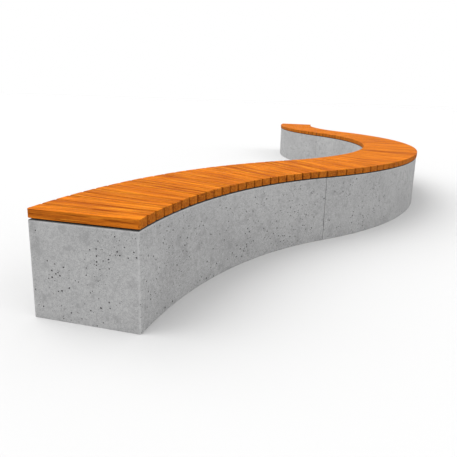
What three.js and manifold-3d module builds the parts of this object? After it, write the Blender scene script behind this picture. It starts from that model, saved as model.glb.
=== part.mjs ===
// Serpentine backless bench: four identical curved modules set end to end in
// a wave. Each module is a solid precast concrete block that stands on the
// ground, two curved steel bearers fixed on top of it, and a deck of tapered
// timber slats that lie across the bearers. Millimetres, +Z up. The origin is
// on the ground at the middle of the bench, and +X runs along it.

import * as THREE from 'three';
import { mergeVertices } from 'three/addons/utils/BufferGeometryUtils.js';
import Module from 'manifold-3d';

// ---- driving dimensions ----

// Plan layout.
const CENTRE_RADIUS = 2200;
const MODULE_ANGLE = Math.PI / 4;
const MODULE_JOINT = 2;

// Heights above the ground.
const SEAT_HEIGHT = 450;
const BLOCK_HEIGHT = 406;
const BEARER_THICKNESS = 6;
const CONTACT_GAP = 0.3;

// Concrete block.
const BLOCK_WIDTH = 466;
const BLOCK_CHAMFER = 2.5;
const BLOCK_ARC_STEPS = 24;

// Steel bearers, with welded studs that stand in drilled holes in the block.
const BEARER_WIDTH = 50;
const BEARER_OFFSET = 150;
const BEARER_END_INSET = 25;
const BEARER_ARC_STEPS = 16;
const STUD_RADIUS = 6;
const STUD_LENGTH = 70;
const STUD_HOLE_RADIUS = 8;
const STUD_HOLE_DEPTH = 80;
const STUD_SIDES = 8;
const STUD_ANGLES = [-0.7, 0, 0.7].map((share) => share * MODULE_ANGLE / 2);

// Timber slats.
const SLATS_PER_MODULE = 23;
const SLAT_LENGTH = 474;
const SLAT_GAP = 4;
const SLAT_CORNER_RADIUS = 10;
const SLAT_CORNER_STEPS = 3;
const SPACER_LENGTH = 60;
const SPACER_HEIGHT = 12;
const SPACER_BITE = 3;

// ---- values that follow from them ----

const HALF_ANGLE = MODULE_ANGLE / 2;
const ARC_CENTRE_STEP = CENTRE_RADIUS * Math.sin(MODULE_ANGLE);
const SLAT_PITCH = MODULE_ANGLE / SLATS_PER_MODULE;
const BEARER_TOP = BLOCK_HEIGHT + BEARER_THICKNESS;
const SLAT_UNDERSIDE = BEARER_TOP + CONTACT_GAP;
const SLAT_THICKNESS = SEAT_HEIGHT - SLAT_UNDERSIDE;

// The arc centre of each module, in steps along X and Y, and the direction
// from that centre to the middle of the module.
const MODULES = [
  { centre: [-2, -1], middle: 1.5 * MODULE_ANGLE },
  { centre: [0, 1], middle: -2.5 * MODULE_ANGLE },
  { centre: [0, 1], middle: -1.5 * MODULE_ANGLE },
  { centre: [2, -1], middle: 2.5 * MODULE_ANGLE },
];

// ---- materials ----

const concrete = new THREE.MeshStandardMaterial({
  color: 0xb4b2ae,
  roughness: 0.85,
  metalness: 0,
});

const timber = new THREE.MeshStandardMaterial({
  color: 0xcc7a30,
  roughness: 0.6,
  metalness: 0,
});

const galvanisedSteel = new THREE.MeshStandardMaterial({
  color: 0x8d9193,
  roughness: 0.45,
  metalness: 0.9,
});

// ---- solids ----

const wasm = await Module();
wasm.setup();

function toSolid(geometry) {
  const bare = geometry.clone();
  bare.deleteAttribute('normal');
  bare.deleteAttribute('uv');
  const merged = mergeVertices(bare);
  const mesh = new wasm.Mesh({
    numProp: 3,
    vertProperties: merged.attributes.position.array,
    triVerts: new Uint32Array(merged.index.array),
  });
  return new wasm.Manifold(mesh);
}

function toGeometry(solid) {
  const { vertProperties, triVerts } = solid.getMesh();
  const geometry = new THREE.BufferGeometry();
  geometry.setAttribute('position', new THREE.BufferAttribute(vertProperties, 3));
  geometry.setIndex(new THREE.BufferAttribute(triVerts, 1));
  geometry.computeVertexNormals();
  return geometry;
}

function polar(radius, angle) {
  return [radius * Math.cos(angle), radius * Math.sin(angle)];
}

// A ring sector about the arc centre, centred on +X. Its two end planes stand
// back from the module's own end planes by endInset, and its four corners are
// cut off by cornerCut.
function sectorShape(innerRadius, outerRadius, endInset, cornerCut) {
  const endAngle = (radius) => HALF_ANGLE - Math.asin(endInset / radius);
  const arcEnd = (radius) => endAngle(radius) - cornerCut / radius;
  const outerCorner = outerRadius - cornerCut;
  const innerCorner = innerRadius + cornerCut;
  const shape = new THREE.Shape();
  shape.absarc(0, 0, outerRadius, -arcEnd(outerRadius), arcEnd(outerRadius), false);
  if (cornerCut > 0) {
    shape.lineTo(...polar(outerCorner, endAngle(outerCorner)));
    shape.lineTo(...polar(innerCorner, endAngle(innerCorner)));
  }
  shape.absarc(0, 0, innerRadius, arcEnd(innerRadius), -arcEnd(innerRadius), true);
  if (cornerCut > 0) {
    shape.lineTo(...polar(innerCorner, -endAngle(innerCorner)));
    shape.lineTo(...polar(outerCorner, -endAngle(outerCorner)));
  }
  shape.closePath();
  return shape;
}

// An upright round bar or hole of the studs, standing down from topZ.
function uprightCylinder(radius, length, distance, angle, topZ) {
  const geometry = new THREE.CylinderGeometry(radius, radius, length, STUD_SIDES);
  geometry.rotateX(Math.PI / 2);
  const [x, y] = polar(distance, angle);
  geometry.translate(x, y, topZ - length / 2);
  return toSolid(geometry);
}

// The block is extruded past the ground with a chamfer all round both ends,
// and cut off at the ground, so only its top edges keep the chamfer.
function makeBlockGeometry() {
  const shape = sectorShape(
    CENTRE_RADIUS - BLOCK_WIDTH / 2,
    CENTRE_RADIUS + BLOCK_WIDTH / 2,
    MODULE_JOINT / 2,
    BLOCK_CHAMFER,
  );
  const belowGround = 4 * BLOCK_CHAMFER;
  const extrusion = new THREE.ExtrudeGeometry(shape, {
    depth: BLOCK_HEIGHT + belowGround - 2 * BLOCK_CHAMFER,
    steps: 1,
    curveSegments: BLOCK_ARC_STEPS,
    bevelEnabled: true,
    bevelThickness: BLOCK_CHAMFER,
    bevelSize: BLOCK_CHAMFER,
    bevelOffset: -BLOCK_CHAMFER,
    bevelSegments: 1,
  });
  extrusion.translate(0, 0, BLOCK_CHAMFER - belowGround);
  const groundCutter = new THREE.BoxGeometry(CENTRE_RADIUS * 2, CENTRE_RADIUS * 2, belowGround * 2);
  groundCutter.translate(CENTRE_RADIUS, 0, -belowGround);
  let solid = toSolid(extrusion).subtract(toSolid(groundCutter));
  for (const offset of [-BEARER_OFFSET, BEARER_OFFSET]) {
    for (const angle of STUD_ANGLES) {
      const overshoot = 10;
      const hole = uprightCylinder(
        STUD_HOLE_RADIUS,
        STUD_HOLE_DEPTH + overshoot,
        CENTRE_RADIUS + offset,
        angle,
        BLOCK_HEIGHT + overshoot,
      );
      solid = solid.subtract(hole);
    }
  }
  return toGeometry(solid);
}

// A curved flat bar that lies on the block, with its studs welded under it.
function makeBearerGeometry(offset) {
  const radius = CENTRE_RADIUS + offset;
  const shape = sectorShape(
    radius - BEARER_WIDTH / 2,
    radius + BEARER_WIDTH / 2,
    BEARER_END_INSET,
    0,
  );
  const thickness = BEARER_THICKNESS - CONTACT_GAP;
  const bar = new THREE.ExtrudeGeometry(shape, {
    depth: thickness,
    steps: 1,
    curveSegments: BEARER_ARC_STEPS,
    bevelEnabled: false,
  });
  bar.translate(0, 0, BEARER_TOP - thickness);
  let solid = toSolid(bar);
  for (const angle of STUD_ANGLES) {
    const weldedDepth = thickness / 2;
    const stud = uprightCylinder(
      STUD_RADIUS,
      STUD_LENGTH + weldedDepth,
      radius,
      angle,
      BEARER_TOP - weldedDepth,
    );
    solid = solid.add(stud);
  }
  return toGeometry(solid);
}

// One slat lies along +X from the arc centre. It widens outwards with the
// pitch, so the gap to the next slat is the same all along, and its plan
// corners are rounded.
function makeSlatGeometry() {
  const inner = CENTRE_RADIUS - SLAT_LENGTH / 2;
  const outer = CENTRE_RADIUS + SLAT_LENGTH / 2;
  const slope = Math.tan(SLAT_PITCH / 2);
  const halfGap = SLAT_GAP / 2 / Math.cos(SLAT_PITCH / 2);
  const halfWidth = (x) => x * slope - halfGap;
  const r = SLAT_CORNER_RADIUS;
  const shape = new THREE.Shape();
  shape.moveTo(inner + r, -halfWidth(inner + r));
  shape.lineTo(outer - r, -halfWidth(outer - r));
  shape.quadraticCurveTo(outer, -halfWidth(outer), outer, -halfWidth(outer) + r);
  shape.lineTo(outer, halfWidth(outer) - r);
  shape.quadraticCurveTo(outer, halfWidth(outer), outer - r, halfWidth(outer - r));
  shape.lineTo(inner + r, halfWidth(inner + r));
  shape.quadraticCurveTo(inner, halfWidth(inner), inner, halfWidth(inner) - r);
  shape.lineTo(inner, -halfWidth(inner) + r);
  shape.quadraticCurveTo(inner, -halfWidth(inner), inner + r, -halfWidth(inner + r));
  const geometry = new THREE.ExtrudeGeometry(shape, {
    depth: SLAT_THICKNESS,
    steps: 1,
    curveSegments: SLAT_CORNER_STEPS,
    bevelEnabled: false,
  });
  geometry.translate(0, 0, SLAT_UNDERSIDE);
  return geometry;
}

// Two neighbouring slats and the packing piece that holds the gap between
// them, low down at mid length where it can't be seen from above.
function makeSlatPairGeometry() {
  const spacer = new THREE.BoxGeometry(SPACER_LENGTH, SLAT_GAP + 2 * SPACER_BITE, SPACER_HEIGHT);
  spacer.translate(CENTRE_RADIUS, 0, SLAT_UNDERSIDE + SPACER_HEIGHT);
  let solid = toSolid(spacer);
  for (const side of [-1, 1]) {
    const slat = makeSlatGeometry();
    slat.rotateZ(side * SLAT_PITCH / 2);
    solid = solid.add(toSolid(slat));
  }
  return toGeometry(solid);
}

// ---- assembly ----

const blockGeometry = makeBlockGeometry();
const innerBearerGeometry = makeBearerGeometry(-BEARER_OFFSET);
const outerBearerGeometry = makeBearerGeometry(BEARER_OFFSET);
const slatGeometry = makeSlatGeometry();
const slatPairGeometry = makeSlatPairGeometry();

function addMesh(parent, name, geometry, material, angle = 0) {
  const mesh = new THREE.Mesh(geometry, material);
  mesh.name = name;
  mesh.rotation.z = angle;
  parent.add(mesh);
}

// The deck's slats are counted from one end: pairs first, then the last one.
function addDeck(parent, number) {
  const slatAngle = (index) => -HALF_ANGLE + index * SLAT_PITCH;
  const pairs = Math.floor(SLATS_PER_MODULE / 2);
  for (let pair = 0; pair < pairs; pair += 1) {
    const name = `slat_pair_${number}_${String(pair + 1).padStart(2, '0')}`;
    addMesh(parent, name, slatPairGeometry, timber, slatAngle(2 * pair + 1));
  }
  addMesh(parent, `slat_end_${number}`, slatGeometry, timber, slatAngle(2 * pairs + 0.5));
}

function makeModule({ centre, middle }, number) {
  const module = new THREE.Group();
  module.position.set(centre[0] * ARC_CENTRE_STEP, centre[1] * ARC_CENTRE_STEP, 0);
  module.rotation.z = middle;
  addMesh(module, `concrete_block_${number}`, blockGeometry, concrete);
  addMesh(module, `bearer_inner_${number}`, innerBearerGeometry, galvanisedSteel);
  addMesh(module, `bearer_outer_${number}`, outerBearerGeometry, galvanisedSteel);
  addDeck(module, number);
  return module;
}

const bench = new THREE.Group();
MODULES.forEach((layout, index) => bench.add(makeModule(layout, index + 1)));

export default bench;
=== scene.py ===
import math
import random

import bmesh
import bpy
from mathutils import Matrix, Vector, noise


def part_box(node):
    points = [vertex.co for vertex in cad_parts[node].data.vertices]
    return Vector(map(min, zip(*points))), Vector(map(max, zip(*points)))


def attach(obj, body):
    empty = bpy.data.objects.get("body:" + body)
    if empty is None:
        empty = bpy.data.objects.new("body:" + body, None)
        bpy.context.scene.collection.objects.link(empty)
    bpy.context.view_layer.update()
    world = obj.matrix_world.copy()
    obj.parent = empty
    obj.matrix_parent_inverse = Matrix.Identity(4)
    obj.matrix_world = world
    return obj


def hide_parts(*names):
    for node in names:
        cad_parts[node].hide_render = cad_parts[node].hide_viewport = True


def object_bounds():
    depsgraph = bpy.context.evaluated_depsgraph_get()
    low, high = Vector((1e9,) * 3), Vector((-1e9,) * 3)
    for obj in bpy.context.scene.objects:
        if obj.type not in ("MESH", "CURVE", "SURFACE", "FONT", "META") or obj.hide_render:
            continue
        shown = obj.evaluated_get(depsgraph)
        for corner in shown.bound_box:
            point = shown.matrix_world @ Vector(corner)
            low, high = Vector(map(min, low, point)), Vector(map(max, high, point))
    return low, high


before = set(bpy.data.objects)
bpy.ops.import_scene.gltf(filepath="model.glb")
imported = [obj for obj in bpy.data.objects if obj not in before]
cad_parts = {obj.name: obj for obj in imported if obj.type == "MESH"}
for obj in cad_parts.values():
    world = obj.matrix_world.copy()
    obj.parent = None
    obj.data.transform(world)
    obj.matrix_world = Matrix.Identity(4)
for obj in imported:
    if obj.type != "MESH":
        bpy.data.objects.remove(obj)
cad_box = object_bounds()

# ---- layout of the bench, in metres, as the frame has it ----

CENTRE_RADIUS = 2.200
MODULE_ANGLE = math.radians(45)
HALF_ANGLE = MODULE_ANGLE / 2
MODULE_JOINT = 0.002
BLOCK_WIDTH = 0.466
BLOCK_CHAMFER = 0.0025
SLATS_PER_MODULE = 23
SLAT_PITCH = MODULE_ANGLE / SLATS_PER_MODULE
SLAT_LENGTH = 0.474
SLAT_GAP = 0.004
SLAT_CORNER_RADIUS = 0.010
SLAT_TOP_ARRIS = 0.0025
SLAT_BOTTOM_ARRIS = 0.0015

BLOCK_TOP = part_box("concrete_block_1")[1].z
SLAT_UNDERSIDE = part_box("slat_end_1")[0].z
SEAT_TOP = cad_box[1].z

# Each module's arc centre, in steps along X and Y, and the direction from that centre to the
# middle of the module, in module angles.
ARC_CENTRE_STEP = CENTRE_RADIUS * math.sin(MODULE_ANGLE)
MODULES = {
    1: ((-2, -1), 1.5),
    2: ((0, 1), -2.5),
    3: ((0, 1), -1.5),
    4: ((2, -1), 2.5),
}


def module_matrix(number):
    (step_x, step_y), middle = MODULES[number]
    centre = Vector((step_x * ARC_CENTRE_STEP, step_y * ARC_CENTRE_STEP, 0))
    return Matrix.Translation(centre) @ Matrix.Rotation(middle * MODULE_ANGLE, 4, "Z")


# ---- node helpers ----


def new_material(name):
    material = bpy.data.materials.new(name)
    material.use_nodes = True
    tree = material.node_tree
    tree.nodes.clear()
    output = tree.nodes.new("ShaderNodeOutputMaterial")
    shader = tree.nodes.new("ShaderNodeBsdfPrincipled")
    tree.links.new(shader.outputs[0], output.inputs["Surface"])
    return material, tree, shader


def feed(tree, socket, value):
    """Links a socket to another node's output, or sets its value."""
    if isinstance(value, bpy.types.NodeSocket):
        tree.links.new(value, socket)
    else:
        socket.default_value = value


def add(tree, kind, inputs, **settings):
    made = tree.nodes.new(kind)
    for name, value in settings.items():
        setattr(made, name, value)
    for name, value in inputs.items():
        feed(tree, made.inputs[name], value)
    return made


def calc(tree, operation, *values):
    inputs = dict(enumerate(values))
    return add(tree, "ShaderNodeMath", inputs, operation=operation).outputs[0]


def noise_value(tree, vector, scale, detail=3.0, roughness=0.5, distortion=0.0):
    inputs = {
        "Vector": vector,
        "Scale": scale,
        "Detail": detail,
        "Roughness": roughness,
        "Distortion": distortion,
    }
    return add(tree, "ShaderNodeTexNoise", inputs).outputs["Fac"]


def remap(tree, value, low, high, to_low=0.0, to_high=1.0, smooth=False):
    inputs = {
        "Value": value,
        "From Min": low,
        "From Max": high,
        "To Min": to_low,
        "To Max": to_high,
    }
    kind = "SMOOTHSTEP" if smooth else "LINEAR"
    return add(tree, "ShaderNodeMapRange", inputs, interpolation_type=kind).outputs[0]


def mix_colour(tree, factor, first, second, blend="MIX"):
    made = tree.nodes.new("ShaderNodeMix")
    made.data_type = "RGBA"
    made.blend_type = blend
    feed(tree, made.inputs[0], factor)
    feed(tree, made.inputs[6], first)
    feed(tree, made.inputs[7], second)
    return made.outputs[2]


def stretched(tree, vector, scale):
    return add(tree, "ShaderNodeMapping", {"Vector": vector, "Scale": scale}).outputs[0]


def attribute(tree, name, output):
    return add(tree, "ShaderNodeAttribute", {}, attribute_name=name).outputs[output]


def bump(tree, height, distance):
    inputs = {"Height": height, "Distance": distance, "Strength": 1.0}
    return add(tree, "ShaderNodeBump", inputs).outputs[0]


# ---- cast concrete ----

CONCRETE_DARK = (0.216, 0.216, 0.217)
CONCRETE_LIGHT = (0.392, 0.392, 0.391)
# A paler colour along the edges of a block.
CONCRETE_PALE_EDGE = (0.41, 0.41, 0.41)
# Painted shade: the colour of the fine holes and of the block's top under the deck.
CONCRETE_PAINTED_SHADE = (0.07, 0.07, 0.07)
# How dark the insides of the cut holes are: painted shade, as a darker copy of the concrete.
HOLE_PAINTED_SHADE = 0.40
PALE_EDGE_WIDTH = 0.011
CONCRETE_RELIEF = 0.0012
# Each size of fine hole: cells to a metre, share of the cells with one, and widest radius as a
# part of the cell.
FINE_HOLES = (
    (170.0, 0.65, 0.36),
    (105.0, 0.55, 0.28),
    (60.0, 0.50, 0.17),
)


def shaded(colour, shade):
    return [shade * part for part in colour] + [1]


def air_holes(tree, place, cells_per_metre, share, widest):
    """Round holes, which concrete_material fills with painted shade: 1 in a hole and 0 outside.
    share is the part of the cells that may have one, and widest its radius as a part of the cell."""
    cells = add(
        tree,
        "ShaderNodeTexVoronoi",
        {"Vector": place, "Scale": cells_per_metre, "Randomness": 1.0},
    )
    chance = add(tree, "ShaderNodeSeparateColor", {0: cells.outputs["Color"]}).outputs[0]
    radius = remap(tree, chance, 1.0 - share, 1.0, 0.0, widest)
    depth = calc(tree, "SUBTRACT", radius, cells.outputs["Distance"])
    return remap(tree, depth, 0.0, 0.4 * widest, smooth=True)


def pale_edges(tree, cast):
    """1 on the upright corner edges and the top edges of a block and 0 away from them: how near a
    point is to both a curved wall and an end, or to the top."""
    parts = add(tree, "ShaderNodeSeparateXYZ", {0: cast}).outputs
    along = calc(tree, "MULTIPLY", parts[0], parts[0])
    radius = calc(tree, "SQRT", calc(tree, "MULTIPLY_ADD", parts[1], parts[1], along))
    angle = calc(tree, "ABSOLUTE", calc(tree, "ARCTAN2", parts[1], parts[0]))
    off_centre = calc(tree, "ABSOLUTE", calc(tree, "SUBTRACT", radius, CENTRE_RADIUS))
    to_wall = calc(tree, "SUBTRACT", BLOCK_WIDTH / 2, off_centre)
    to_end = calc(tree, "MULTIPLY", calc(tree, "SUBTRACT", HALF_ANGLE, angle), CENTRE_RADIUS)
    distance = calc(tree, "MAXIMUM", to_wall, to_end)
    upright = remap(tree, distance, PALE_EDGE_WIDTH, 0.0, smooth=True)
    top = remap(tree, parts[2], BLOCK_TOP - PALE_EDGE_WIDTH, BLOCK_TOP - BLOCK_CHAMFER, smooth=True)
    return calc(tree, "MAXIMUM", upright, top)


def under_deck_shade(tree, cast):
    """1 on the flat top of a block, which gets painted shade for the shadow under the deck, and 0
    on its walls.
    """
    height = add(tree, "ShaderNodeSeparateXYZ", {0: cast}).outputs[2]
    return remap(tree, height, BLOCK_TOP - BLOCK_CHAMFER, BLOCK_TOP - 0.5 * BLOCK_CHAMFER)


def concrete_material(name, shade):
    """Cast concrete with mottling, smudges, paler edges and fine holes, with painted shade in the
    holes and on its top under the deck, its colours times shade.
    """
    material, tree, shader = new_material(name)
    cast = attribute(tree, "cast", "Vector")
    place = add(tree, "ShaderNodeTexCoord", {}).outputs["Object"]
    cloud = noise_value(tree, place, 4.0, detail=3.0, roughness=0.5, distortion=0.4)
    patch = noise_value(tree, place, 70.0, detail=4.0, roughness=0.7)
    grain = noise_value(tree, place, 230.0, detail=4.0, roughness=0.8)
    tone = calc(tree, "MULTIPLY", cloud, 0.18)
    tone = calc(tree, "MULTIPLY_ADD", patch, 0.24, tone)
    tone = calc(tree, "MULTIPLY_ADD", grain, 0.58, tone)
    tone = remap(tree, tone, 0.38, 0.62)
    dark = shaded(CONCRETE_DARK, shade)
    shade_colour = shaded(CONCRETE_PAINTED_SHADE, shade)
    colour = mix_colour(tree, tone, dark, shaded(CONCRETE_LIGHT, shade))
    # Paler bands along the upright corner edges and the top edges.
    edge_paleness = calc(tree, "MULTIPLY", pale_edges(tree, cast), remap(tree, patch, 0.3, 0.6, 0.3, 0.9))
    colour = mix_colour(tree, edge_paleness, colour, shaded(CONCRETE_PALE_EDGE, shade))
    smudge = remap(tree, noise_value(tree, place, 22.0, detail=3.0), 0.54, 0.68, smooth=True)
    colour = mix_colour(tree, calc(tree, "MULTIPLY", smudge, 0.45), colour, dark)
    crowded = remap(tree, noise_value(tree, place, 9.0, detail=2.0), 0.40, 0.60, 0.35, 1.0)
    holes = 0.0
    for cells_per_metre, share, widest in FINE_HOLES:
        layer = air_holes(tree, place, cells_per_metre, share, widest)
        holes = calc(tree, "MAXIMUM", holes, layer)
    holes = calc(tree, "MULTIPLY", holes, crowded)
    # Painted shade: the fine holes are darkened as if shaded inside.
    colour = mix_colour(tree, calc(tree, "MULTIPLY", holes, 0.9), colour, shade_colour)
    # Painted shade: the top of the block, under the deck, is darkened.
    colour = mix_colour(tree, calc(tree, "MULTIPLY", under_deck_shade(tree, cast), 0.85), colour, shade_colour)
    feed(tree, shader.inputs["Base Color"], colour)
    feed(tree, shader.inputs["Roughness"], remap(tree, patch, 0.3, 0.7, 0.80, 0.94))
    shader.inputs["Specular IOR Level"].default_value = 0.04
    height = calc(tree, "MULTIPLY", grain, 0.30)
    height = calc(tree, "MULTIPLY_ADD", patch, 0.3, height)
    height = calc(tree, "SUBTRACT", height, holes)
    feed(tree, shader.inputs["Normal"], bump(tree, height, CONCRETE_RELIEF))
    return material


# ---- oiled timber ----

TIMBER_DARK = (0.230, 0.040, 0.003, 1)
TIMBER_LIGHT = (0.685, 0.190, 0.010, 1)
TIMBER_GOLDEN = (0.690, 0.240, 0.013, 1)
TIMBER_FIGURE = (0.190, 0.033, 0.002, 1)
TIMBER_VESSEL = (0.130, 0.024, 0.002, 1)
TIMBER_END = (0.340, 0.110, 0.012, 1)
# Painted shade, multiplied into the upright sides of a slat.
TIMBER_SIDE_SHADE = (0.740, 0.740, 1.100, 1)
# Painted shade in the gaps between slats and under them.
TIMBER_GAP_SHADE = (0.060, 0.022, 0.008, 1)
TIMBER_RELIEF = 0.0005
# Turns of the ring wave to a metre from the heart, in radians: a ring every 5.7 mm.
RING_FREQUENCY = 1100.0


def timber_material():
    """Oiled hardwood. The attribute wood is the place in the tree that the slat was cut from:
    x runs along the grain, and y and z are measured from the heart."""
    material, tree, shader = new_material("oiled_timber")
    wood = attribute(tree, "wood", "Vector")
    tone = attribute(tree, "tone", "Fac")
    end_grain = attribute(tree, "end_grain", "Fac")
    side = attribute(tree, "side", "Fac")
    gap_shade = attribute(tree, "gap_shade", "Fac")

    sway = noise_value(tree, stretched(tree, wood, (1.6, 9.0, 9.0)), 1.0, detail=2.0)
    parts = add(tree, "ShaderNodeSeparateXYZ", {0: wood})
    across = add(tree, "ShaderNodeCombineXYZ", {1: parts.outputs[1], 2: parts.outputs[2]})
    ring_radius = add(tree, "ShaderNodeVectorMath", {0: across.outputs[0]}, operation="LENGTH")
    radius = calc(tree, "MULTIPLY_ADD", sway, 0.030, ring_radius.outputs["Value"])
    rings = calc(tree, "SINE", calc(tree, "MULTIPLY", radius, RING_FREQUENCY))
    rings = remap(tree, rings, -1.0, 1.0)

    bands = noise_value(tree, stretched(tree, wood, (1.6, 30.0, 30.0)), 1.0, 2.0, 0.5)
    streaks = noise_value(tree, stretched(tree, wood, (3.2, 90.0, 90.0)), 1.0, 5.0, 0.7)
    fibres = noise_value(tree, stretched(tree, wood, (10.0, 600.0, 600.0)), 1.0, 3.0, 0.6)
    vessels = noise_value(tree, stretched(tree, wood, (40.0, 1300.0, 1300.0)), 1.0, 1.0)
    vessels = remap(tree, vessels, 0.60, 0.74, smooth=True)

    warmth = calc(tree, "MULTIPLY", remap(tree, streaks, 0.34, 0.66), 0.42)
    warmth = calc(tree, "MULTIPLY_ADD", remap(tree, bands, 0.32, 0.68), 0.22, warmth)
    warmth = calc(tree, "MULTIPLY_ADD", rings, 0.10, warmth)
    warmth = calc(tree, "MULTIPLY_ADD", fibres, 0.10, warmth)
    warmth = calc(tree, "MULTIPLY_ADD", tone, 0.16, warmth)
    warmth = remap(tree, warmth, 0.24, 0.76)
    colour = mix_colour(tree, warmth, TIMBER_DARK, TIMBER_LIGHT)
    golden = noise_value(tree, stretched(tree, wood, (2.6, 110.0, 110.0)), 1.0, 3.0, 0.6)
    golden = calc(tree, "MULTIPLY", remap(tree, golden, 0.50, 0.64, smooth=True), 0.8)
    colour = mix_colour(tree, golden, colour, TIMBER_GOLDEN)
    figure = noise_value(tree, stretched(tree, wood, (4.0, 170.0, 170.0)), 1.0, 3.0, 0.6)
    figure = calc(tree, "MULTIPLY", remap(tree, figure, 0.52, 0.64, smooth=True), 0.72)
    colour = mix_colour(tree, figure, colour, TIMBER_FIGURE)
    colour = mix_colour(tree, calc(tree, "MULTIPLY", vessels, 0.45), colour, TIMBER_VESSEL)
    colour = mix_colour(tree, calc(tree, "MULTIPLY", end_grain, 0.35), colour, TIMBER_END)
    # Painted shade: the upright sides are darker and cooler than the top.
    colour = mix_colour(tree, side, colour, TIMBER_SIDE_SHADE, blend="MULTIPLY")
    # Painted shade in the gaps and under the slats.
    colour = mix_colour(tree, calc(tree, "MULTIPLY", gap_shade, 0.70), colour, TIMBER_GAP_SHADE)
    feed(tree, shader.inputs["Base Color"], colour)
    feed(tree, shader.inputs["Roughness"], remap(tree, streaks, 0.3, 0.7, 0.52, 0.70))
    shader.inputs["Specular IOR Level"].default_value = 0.01
    height = calc(tree, "MULTIPLY", fibres, 0.5)
    height = calc(tree, "MULTIPLY_ADD", rings, 0.25, height)
    height = calc(tree, "SUBTRACT", height, vessels)
    feed(tree, shader.inputs["Normal"], bump(tree, height, TIMBER_RELIEF))
    return material


# ---- galvanised steel ----

STEEL_DARK = (0.20, 0.21, 0.22, 1)
STEEL_LIGHT = (0.42, 0.43, 0.44, 1)
STEEL_RELIEF = 0.0003


def steel_material():
    material, tree, shader = new_material("galvanised_steel")
    place = add(tree, "ShaderNodeTexCoord", {}).outputs["Object"]
    cells = add(tree, "ShaderNodeTexVoronoi", {"Vector": place, "Scale": 120.0})
    spangle = add(tree, "ShaderNodeSeparateColor", {0: cells.outputs["Color"]}).outputs[0]
    dull = noise_value(tree, place, 30.0, detail=5.0, roughness=0.65)
    blend = calc(tree, "MULTIPLY_ADD", dull, 0.5, calc(tree, "MULTIPLY", spangle, 0.5))
    colour = mix_colour(tree, blend, STEEL_DARK, STEEL_LIGHT)
    feed(tree, shader.inputs["Base Color"], colour)
    feed(tree, shader.inputs["Roughness"], remap(tree, blend, 0.2, 0.8, 0.38, 0.62))
    shader.inputs["Metallic"].default_value = 0.9
    feed(tree, shader.inputs["Normal"], bump(tree, dull, STEEL_RELIEF))
    return material


# ---- mesh helpers ----


def loft(levels):
    """A closed mesh through outlines of one length, given with their heights from low to high."""
    mesh = bmesh.new()
    rings = [[mesh.verts.new((x, y, z)) for x, y in outline] for outline, z in levels]
    for low, high in zip(rings, rings[1:]):
        for i, corner in enumerate(low):
            j = (i + 1) % len(low)
            mesh.faces.new((corner, low[j], high[j], high[i]))
    mesh.faces.new(list(reversed(rings[0])))
    mesh.faces.new(rings[-1])
    return mesh


def finish_piece(name, mesh):
    """Puts a mesh in the scene as a piece of the bench, shaded smooth with flat faces kept flat."""
    mesh.polygons.foreach_set("use_smooth", [True] * len(mesh.polygons))
    piece = bpy.data.objects.new(name, mesh)
    bpy.context.scene.collection.objects.link(piece)
    normals = piece.modifiers.new("face_weighted_normals", "WEIGHTED_NORMAL")
    normals.weight = 100
    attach(piece, "root")
    return piece


def polar(radius, angle):
    return radius * math.cos(angle), radius * math.sin(angle)


# ---- concrete blocks ----

BLOCK_ARC_STEPS = 90
FOOT_CHAMFER = 0.001
HOLE_SEED = 400
PORE_TRIES_PER_BLOCK = 3000
PORE_TRIES_ON_WALLS = 0.60
PORE_RADII = (0.0013, 0.0046)
# The higher the power, the rarer the large holes.
WALL_PORE_POWER = 1.5
END_PORE_POWER = 2.0
NICKS_PER_BLOCK = 40
NICK_RADII = (0.0010, 0.0032)
PORE_HEIGHTS = (0.004, BLOCK_TOP - 0.012)
# How far from the centre line a hole in an end may be, as a part of the block's width.
END_PORE_SPREAD = 0.48
# A try becomes a hole with this chance, which a noise of this scale raises and lowers.
CROWD_CHANCE = 0.38
CROWD_SWING = 1.2
CROWD_SCALE = 7
# The shape of a cutter, as parts of its radius: its half length, half width and half depth, how
# far its middle is under the surface, and how far from its middle nothing else is cut.
CUTTER_LENGTHS = (0.8, 1.25)
CUTTER_WIDTHS = (0.75, 1.0)
CUTTER_DEPTH = 0.9
CUTTER_SUNK = (0.0, 0.25)
CUTTER_REACH = 1.3
# The place in a block's list of materials of the darker copy of the concrete that paints shade
# inside the holes.
HOLE_MATERIAL = 1


def block_outline(inset):
    """The plan outline of a block, centred on +X and drawn in by inset, with its corners cut."""
    outer = CENTRE_RADIUS + BLOCK_WIDTH / 2 - inset
    inner = CENTRE_RADIUS - BLOCK_WIDTH / 2 + inset
    cut = BLOCK_CHAMFER - inset * (2 - math.sqrt(2))

    def end_angle(radius):
        return HALF_ANGLE - math.asin((MODULE_JOINT / 2 + inset) / radius)

    def arc(radius):
        limit = end_angle(radius) - cut / radius
        return [
            polar(radius, -limit + 2 * limit * step / BLOCK_ARC_STEPS)
            for step in range(BLOCK_ARC_STEPS + 1)
        ]

    outer_end = polar(outer - cut, end_angle(outer - cut))
    inner_end = polar(inner + cut, end_angle(inner + cut))
    points = arc(outer) + [outer_end, inner_end] + arc(inner)[::-1]
    return points + [(inner_end[0], -inner_end[1]), (outer_end[0], -outer_end[1])]


def wall_point(rng, outward):
    """A random point of a block's curved wall, as (place, normal), in the module's own axes:
    the outer wall if outward is 1, the inner if it is -1."""
    radius = CENTRE_RADIUS + outward * BLOCK_WIDTH / 2
    angle = rng.uniform(-HALF_ANGLE, HALF_ANGLE)
    height = rng.uniform(*PORE_HEIGHTS)
    normal = Vector((*polar(outward, angle), 0))
    return Vector((*polar(radius, angle), height)), normal


def end_point(rng, side):
    """A random point of a block's flat end, as (place, normal)."""
    radius = CENTRE_RADIUS + rng.uniform(-END_PORE_SPREAD, END_PORE_SPREAD) * BLOCK_WIDTH
    angle = side * (HALF_ANGLE - math.asin(MODULE_JOINT / 2 / radius))
    height = rng.uniform(*PORE_HEIGHTS)
    normal = Vector((-side * math.sin(HALF_ANGLE), math.cos(HALF_ANGLE), 0)) * side
    return Vector((*polar(radius, angle), height)), normal


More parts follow.
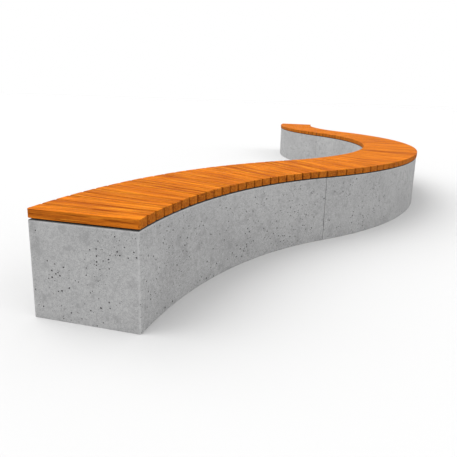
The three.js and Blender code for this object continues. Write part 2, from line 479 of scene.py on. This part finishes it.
def edge_point(rng):
    """A random point of a block's upright corner edges, foot or top edge, as (place, normal)."""
    outward = rng.choice((-1, 1))
    radius = CENTRE_RADIUS + outward * BLOCK_WIDTH / 2
    if rng.random() < 0.5:
        angle = rng.uniform(-HALF_ANGLE, HALF_ANGLE)
        height = rng.choice((0.0, BLOCK_TOP - BLOCK_CHAMFER))
    else:
        angle = rng.choice((-1, 1)) * (HALF_ANGLE - (MODULE_JOINT / 2 + BLOCK_CHAMFER) / radius)
        height = rng.uniform(0.0, BLOCK_TOP)
    return Vector((*polar(radius, angle), height)), Vector((*polar(outward, angle), 0))


def ball_template():
    """The corners and faces of a small faceted ball of radius 1."""
    ball = bmesh.new()
    bmesh.ops.create_icosphere(ball, subdivisions=2, radius=1.0)
    corners = [corner.co.copy() for corner in ball.verts]
    faces = [[corner.index for corner in face.verts] for face in ball.faces]
    ball.free()
    return corners, faces


def hollow_matrix(rng, place, normal, radius):
    """Places one rounded cutter, a little out of round, with its middle at or just under the
    surface."""
    turn = normal.to_track_quat("Z", "Y").to_matrix().to_4x4()
    spin = Matrix.Rotation(rng.uniform(0, math.tau), 4, "Z")
    stretch = (rng.uniform(*CUTTER_LENGTHS), rng.uniform(*CUTTER_WIDTHS), CUTTER_DEPTH)
    shape = Matrix.Diagonal([radius * part for part in stretch] + [1])
    sunk = Matrix.Translation(place - normal * radius * rng.uniform(*CUTTER_SUNK))
    return sunk @ turn @ spin @ shape


def block_cutter(number):
    """All the air holes and nicks of a block in one mesh. No two of them touch, and the holes
    crowd together in places."""
    rng = random.Random(HOLE_SEED + number)
    ball_corners, ball_faces = ball_template()
    corners = []
    faces = []
    taken = []

    def is_free(place, reach):
        return all((place - other).length > reach + other_reach for other, other_reach in taken)

    def put(place, normal, radius):
        reach = CUTTER_REACH * radius
        if is_free(place, reach):
            taken.append((place, reach))
            matrix = hollow_matrix(rng, place, normal, radius)
            first = len(corners)
            corners.extend(matrix @ corner for corner in ball_corners)
            faces.extend([first + index for index in face] for face in ball_faces)

    smallest, largest = PORE_RADII
    for _ in range(PORE_TRIES_PER_BLOCK):
        if rng.random() < PORE_TRIES_ON_WALLS:
            place, normal = wall_point(rng, rng.choice((-1, 1)))
            power = WALL_PORE_POWER
        else:
            place, normal = end_point(rng, rng.choice((-1, 1)))
            power = END_PORE_POWER
        radius = smallest + (largest - smallest) * rng.random() ** power
        crowding = noise.noise(place * CROWD_SCALE + Vector((number, 0, 0)))
        if rng.random() < CROWD_CHANCE + CROWD_SWING * crowding:
            put(place, normal, radius)
    for _ in range(NICKS_PER_BLOCK):
        place, normal = edge_point(rng)
        put(place, normal, rng.uniform(*NICK_RADII))
    mesh = bpy.data.meshes.new("air_holes")
    mesh.from_pydata(corners, [], faces)
    for face in mesh.polygons:
        face.material_index = HOLE_MATERIAL
    return mesh


def cut_away(mesh, cutter_mesh):
    """The mesh less the cutter, as a new mesh."""
    body = bpy.data.objects.new("body", mesh)
    cutter = bpy.data.objects.new("cutter", cutter_mesh)
    for temporary in (body, cutter):
        bpy.context.scene.collection.objects.link(temporary)
    boolean = body.modifiers.new("air_holes", "BOOLEAN")
    boolean.operation = "DIFFERENCE"
    boolean.solver = "MANIFOLD"
    boolean.object = cutter
    graph = bpy.context.evaluated_depsgraph_get()
    result = bpy.data.meshes.new_from_object(body.evaluated_get(graph))
    for temporary in (body, cutter):
        bpy.data.objects.remove(temporary)
    return result


def make_block(number, materials):
    levels = [
        (block_outline(FOOT_CHAMFER), 0.0),
        (block_outline(0.0), FOOT_CHAMFER),
        (block_outline(0.0), BLOCK_TOP - BLOCK_CHAMFER),
        (block_outline(BLOCK_CHAMFER), BLOCK_TOP),
    ]
    solid = loft(levels)
    mesh = bpy.data.meshes.new(f"block_{number}")
    solid.to_mesh(mesh)
    solid.free()
    cutter = block_cutter(number)
    for material in materials:
        mesh.materials.append(material)
        cutter.materials.append(material)
    mesh = cut_away(mesh, cutter)
    cast = mesh.attributes.new("cast", "FLOAT_VECTOR", "POINT")
    for vertex, value in zip(mesh.vertices, cast.data):
        value.vector = vertex.co
    mesh.transform(module_matrix(number))
    piece = finish_piece(f"block_{number}", mesh)
    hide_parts(f"concrete_block_{number}")


# ---- timber deck ----

SLAT_CORNER_STEPS = 5
SLAT_ARRIS_TURNS = (0, 30, 60, 90)
# How far a slat may lie from its true place.
SLAT_PLAY = 0.0005
TIMBER_SEED = 70
# Where the heart of the tree may be, from the middle of a slat's top: along it, across and below.
HEART_ALONG = 60
HEART_ACROSS = 0.07
HEART_HEIGHTS = (-0.16, -0.05)
# The two slats at the ends of the bench, and the Y side of each that faces no other slat.
FREE_SIDES = {(1, SLATS_PER_MODULE - 1): 1, (4, 0): -1}
# A face is a side of its slat if its normal's height is under the first limit, and an end if
# its normal's length along the slat is over the second.
UPRIGHT_LIMIT = 0.6
END_LIMIT = 0.7
# How quickly the painted shade in a gap fades out round the corners of the slat.
GAP_SHADE_POWER = 6


def slat_outline(inset):
    """The plan outline of a slat that lies along +X from the arc centre, drawn in by inset."""
    slope = math.tan(SLAT_PITCH / 2)
    inner = CENTRE_RADIUS - SLAT_LENGTH / 2 + inset
    outer = CENTRE_RADIUS + SLAT_LENGTH / 2 - inset
    round_off = SLAT_CORNER_RADIUS - inset

    def half_width(x):
        return x * slope - SLAT_GAP / 2 - inset

    points = []
    corners = [(outer, -1, -90), (outer, 1, 0), (inner, 1, 90), (inner, -1, 180)]
    for end, side, start in corners:
        x = end - round_off if end == outer else end + round_off
        y = side * (half_width(x) - round_off)
        for step in range(SLAT_CORNER_STEPS + 1):
            angle = math.radians(start + 90 * step / SLAT_CORNER_STEPS)
            points.append((x + round_off * math.cos(angle), y + round_off * math.sin(angle)))
    return points


def slat_levels():
    """The outlines of a slat from its underside up to the rounded edge of its top."""
    levels = [
        (slat_outline(SLAT_BOTTOM_ARRIS), SLAT_UNDERSIDE),
        (slat_outline(0.0), SLAT_UNDERSIDE + SLAT_BOTTOM_ARRIS),
    ]
    for turn in SLAT_ARRIS_TURNS:
        inset = SLAT_TOP_ARRIS * (1 - math.cos(math.radians(turn)))
        drop = SLAT_TOP_ARRIS * (1 - math.sin(math.radians(turn)))
        levels.append((slat_outline(inset), SEAT_TOP - drop))
    return levels


def write_wood_attributes(mesh, rng, free_side):
    """Gives a slat its own place in the tree and its own tone, and marks its ends, its upright
    sides, which get painted shade, and the faces that get the painted shade of the gaps: those in
    the gaps and underneath. free_side is the Y side that faces no other slat, or 0."""
    along = -rng.uniform(0, HEART_ALONG)
    across = rng.uniform(-HEART_ACROSS, HEART_ACROSS)
    heart = Vector((along, across, rng.uniform(*HEART_HEIGHTS)))
    middle = Vector((CENTRE_RADIUS, 0, SEAT_TOP))
    wood = mesh.attributes.new("wood", "FLOAT_VECTOR", "POINT")
    for vertex, value in zip(mesh.vertices, wood.data):
        value.vector = vertex.co - middle - heart
    tone = mesh.attributes.new("tone", "FLOAT", "POINT")
    slat_tone = rng.random()
    for value in tone.data:
        value.value = slat_tone
    end_grain = mesh.attributes.new("end_grain", "FLOAT", "CORNER")
    side = mesh.attributes.new("side", "FLOAT", "CORNER")
    gap_shade = mesh.attributes.new("gap_shade", "FLOAT", "CORNER")
    for face in mesh.polygons:
        normal = face.normal
        # Painted shade: faces that look down, and sides that face another slat across a gap.
        gap_shade_amount = max(0.0, -normal.z)
        if normal.z < UPRIGHT_LIMIT and normal.y * free_side <= 0:
            gap_shade_amount = max(gap_shade_amount, abs(normal.y) ** GAP_SHADE_POWER)
        for loop in face.loop_indices:
            end_grain.data[loop].value = float(abs(normal.x) > END_LIMIT)
            side.data[loop].value = float(abs(normal.z) < UPRIGHT_LIMIT)
            gap_shade.data[loop].value = gap_shade_amount


def make_slat(number, index, material, rng):
    solid = loft(slat_levels())
    mesh = bpy.data.meshes.new(f"slat_{number}_{index + 1:02d}")
    solid.to_mesh(mesh)
    solid.free()
    write_wood_attributes(mesh, rng, FREE_SIDES.get((number, index), 0))
    play = Vector((rng.uniform(-1, 1), rng.uniform(-0.4, 0.4), rng.uniform(-1, 0))) * SLAT_PLAY
    angle = -HALF_ANGLE + (index + 0.5) * SLAT_PITCH
    place = module_matrix(number) @ Matrix.Rotation(angle, 4, "Z") @ Matrix.Translation(play)
    mesh.transform(place)
    mesh.materials.append(material)
    piece = finish_piece(mesh.name, mesh)
    pair = index // 2 + 1
    is_last = index == SLATS_PER_MODULE - 1
    node = f"slat_end_{number}" if is_last else f"slat_pair_{number}_{pair:02d}"
    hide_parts(node)


def make_deck(number, material):
    rng = random.Random(TIMBER_SEED + number)
    for index in range(SLATS_PER_MODULE):
        make_slat(number, index, material, rng)


# ---- steel bearers: the frame's own parts, with a finish ----


def finish_bearers(material):
    for name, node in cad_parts.items():
        if name.startswith("bearer_"):
            node.data.materials.clear()
            node.data.materials.append(material)


# ---- floor, light and camera ----

FLOOR_HALF_WIDTH = 60.0
FLOOR_DROP = 0.0005
FLOOR_COLOUR = (0.552, 0.552, 0.552, 1)
SUN_SPREAD = math.radians(60)
# Name, elevation and azimuth from +X in degrees, and strength.
SUNS = (
    ("key", 50, 90, 1.86),
    ("key_near", 50, 135, 0.94),
    ("fill", 25, 262, 0.97),
)
CAMERA_HEADING = math.radians(14.2)
CAMERA_PITCH = math.radians(12.48)
CAMERA_ROLL = math.radians(1.60)
SENSOR_WIDTH = 36.0
LENS_LENGTH = 0.96800 * SENSOR_WIDTH
LENS_SHIFT = (-0.0231, -0.0758)
# Where the camera stands, from the ground under the middle of the bench's near end.
CAMERA_BACK = 1.5679
CAMERA_ASIDE = 0.5807
CAMERA_HEIGHT = 0.8892


def make_floor():
    mesh = bpy.data.meshes.new("floor")
    half = FLOOR_HALF_WIDTH
    corners = [(-half, -half, 0), (half, -half, 0), (half, half, 0), (-half, half, 0)]
    mesh.from_pydata(corners, [], [(0, 1, 2, 3)])
    material, _, shader = new_material("pale_floor")
    shader.inputs["Base Color"].default_value = FLOOR_COLOUR
    shader.inputs["Roughness"].default_value = 0.9
    shader.inputs["Specular IOR Level"].default_value = 0.1
    mesh.materials.append(material)
    floor = bpy.data.objects.new("floor", mesh)
    floor.location.z = -FLOOR_DROP
    bpy.context.scene.collection.objects.link(floor)


def make_soft_sun(name, elevation, azimuth, strength):
    """A broad, even light from one side of the sky."""
    height = math.radians(elevation)
    towards = Vector((*polar(math.cos(height), math.radians(azimuth)), math.sin(height)))
    light = bpy.data.lights.new(name, "SUN")
    light.energy = strength
    light.angle = SUN_SPREAD
    lamp = bpy.data.objects.new(name, light)
    lamp.rotation_mode = "QUATERNION"
    lamp.rotation_quaternion = (-towards).to_track_quat("-Z", "Y")
    bpy.context.scene.collection.objects.link(lamp)


def light_studio():
    world = bpy.data.worlds.new("studio")
    world.use_nodes = True
    background = world.node_tree.nodes["Background"]
    background.inputs["Color"].default_value = (1, 1, 1, 1)
    background.inputs["Strength"].default_value = 1.0
    bpy.context.scene.world = world
    for name, elevation, azimuth, strength in SUNS:
        make_soft_sun(name, elevation, azimuth, strength)
    bpy.context.scene.view_settings.view_transform = "Standard"


def make_camera():
    """Stands beyond the near end of the bench, at -X, and looks along it and down."""
    ahead = Vector((math.cos(CAMERA_HEADING), math.sin(CAMERA_HEADING), 0))
    right = Vector((math.sin(CAMERA_HEADING), -math.cos(CAMERA_HEADING), 0))
    up = Vector((0, 0, 1))
    forward = ahead * math.cos(CAMERA_PITCH) - up * math.sin(CAMERA_PITCH)
    top = ahead * math.sin(CAMERA_PITCH) + up * math.cos(CAMERA_PITCH)
    rolled_right = right * math.cos(CAMERA_ROLL) + top * math.sin(CAMERA_ROLL)
    rolled_top = top * math.cos(CAMERA_ROLL) - right * math.sin(CAMERA_ROLL)
    data = bpy.data.cameras.new("camera")
    data.sensor_width = SENSOR_WIDTH
    data.lens = LENS_LENGTH
    data.shift_x, data.shift_y = LENS_SHIFT
    data.clip_end = 200
    camera = bpy.data.objects.new("camera", data)
    basis = Matrix((rolled_right, rolled_top, -forward)).transposed().to_4x4()
    near_end = Vector((-2 * ARC_CENTRE_STEP, CENTRE_RADIUS - ARC_CENTRE_STEP, 0))
    place = near_end - ahead * CAMERA_BACK + right * CAMERA_ASIDE + up * CAMERA_HEIGHT
    camera.matrix_world = Matrix.Translation(place) @ basis
    bpy.context.scene.collection.objects.link(camera)
    bpy.context.scene.camera = camera


# ---- the scene ----

make_camera()
make_floor()
light_studio()

# The second material is a darker copy of the concrete: painted shade inside the cut holes.
concrete = [concrete_material("cast_concrete", 1.0), concrete_material("air_hole_painted_shade", HOLE_PAINTED_SHADE)]
timber = timber_material()
finish_bearers(steel_material())
for module_number in MODULES:
    make_block(module_number, concrete)
    make_deck(module_number, timber)
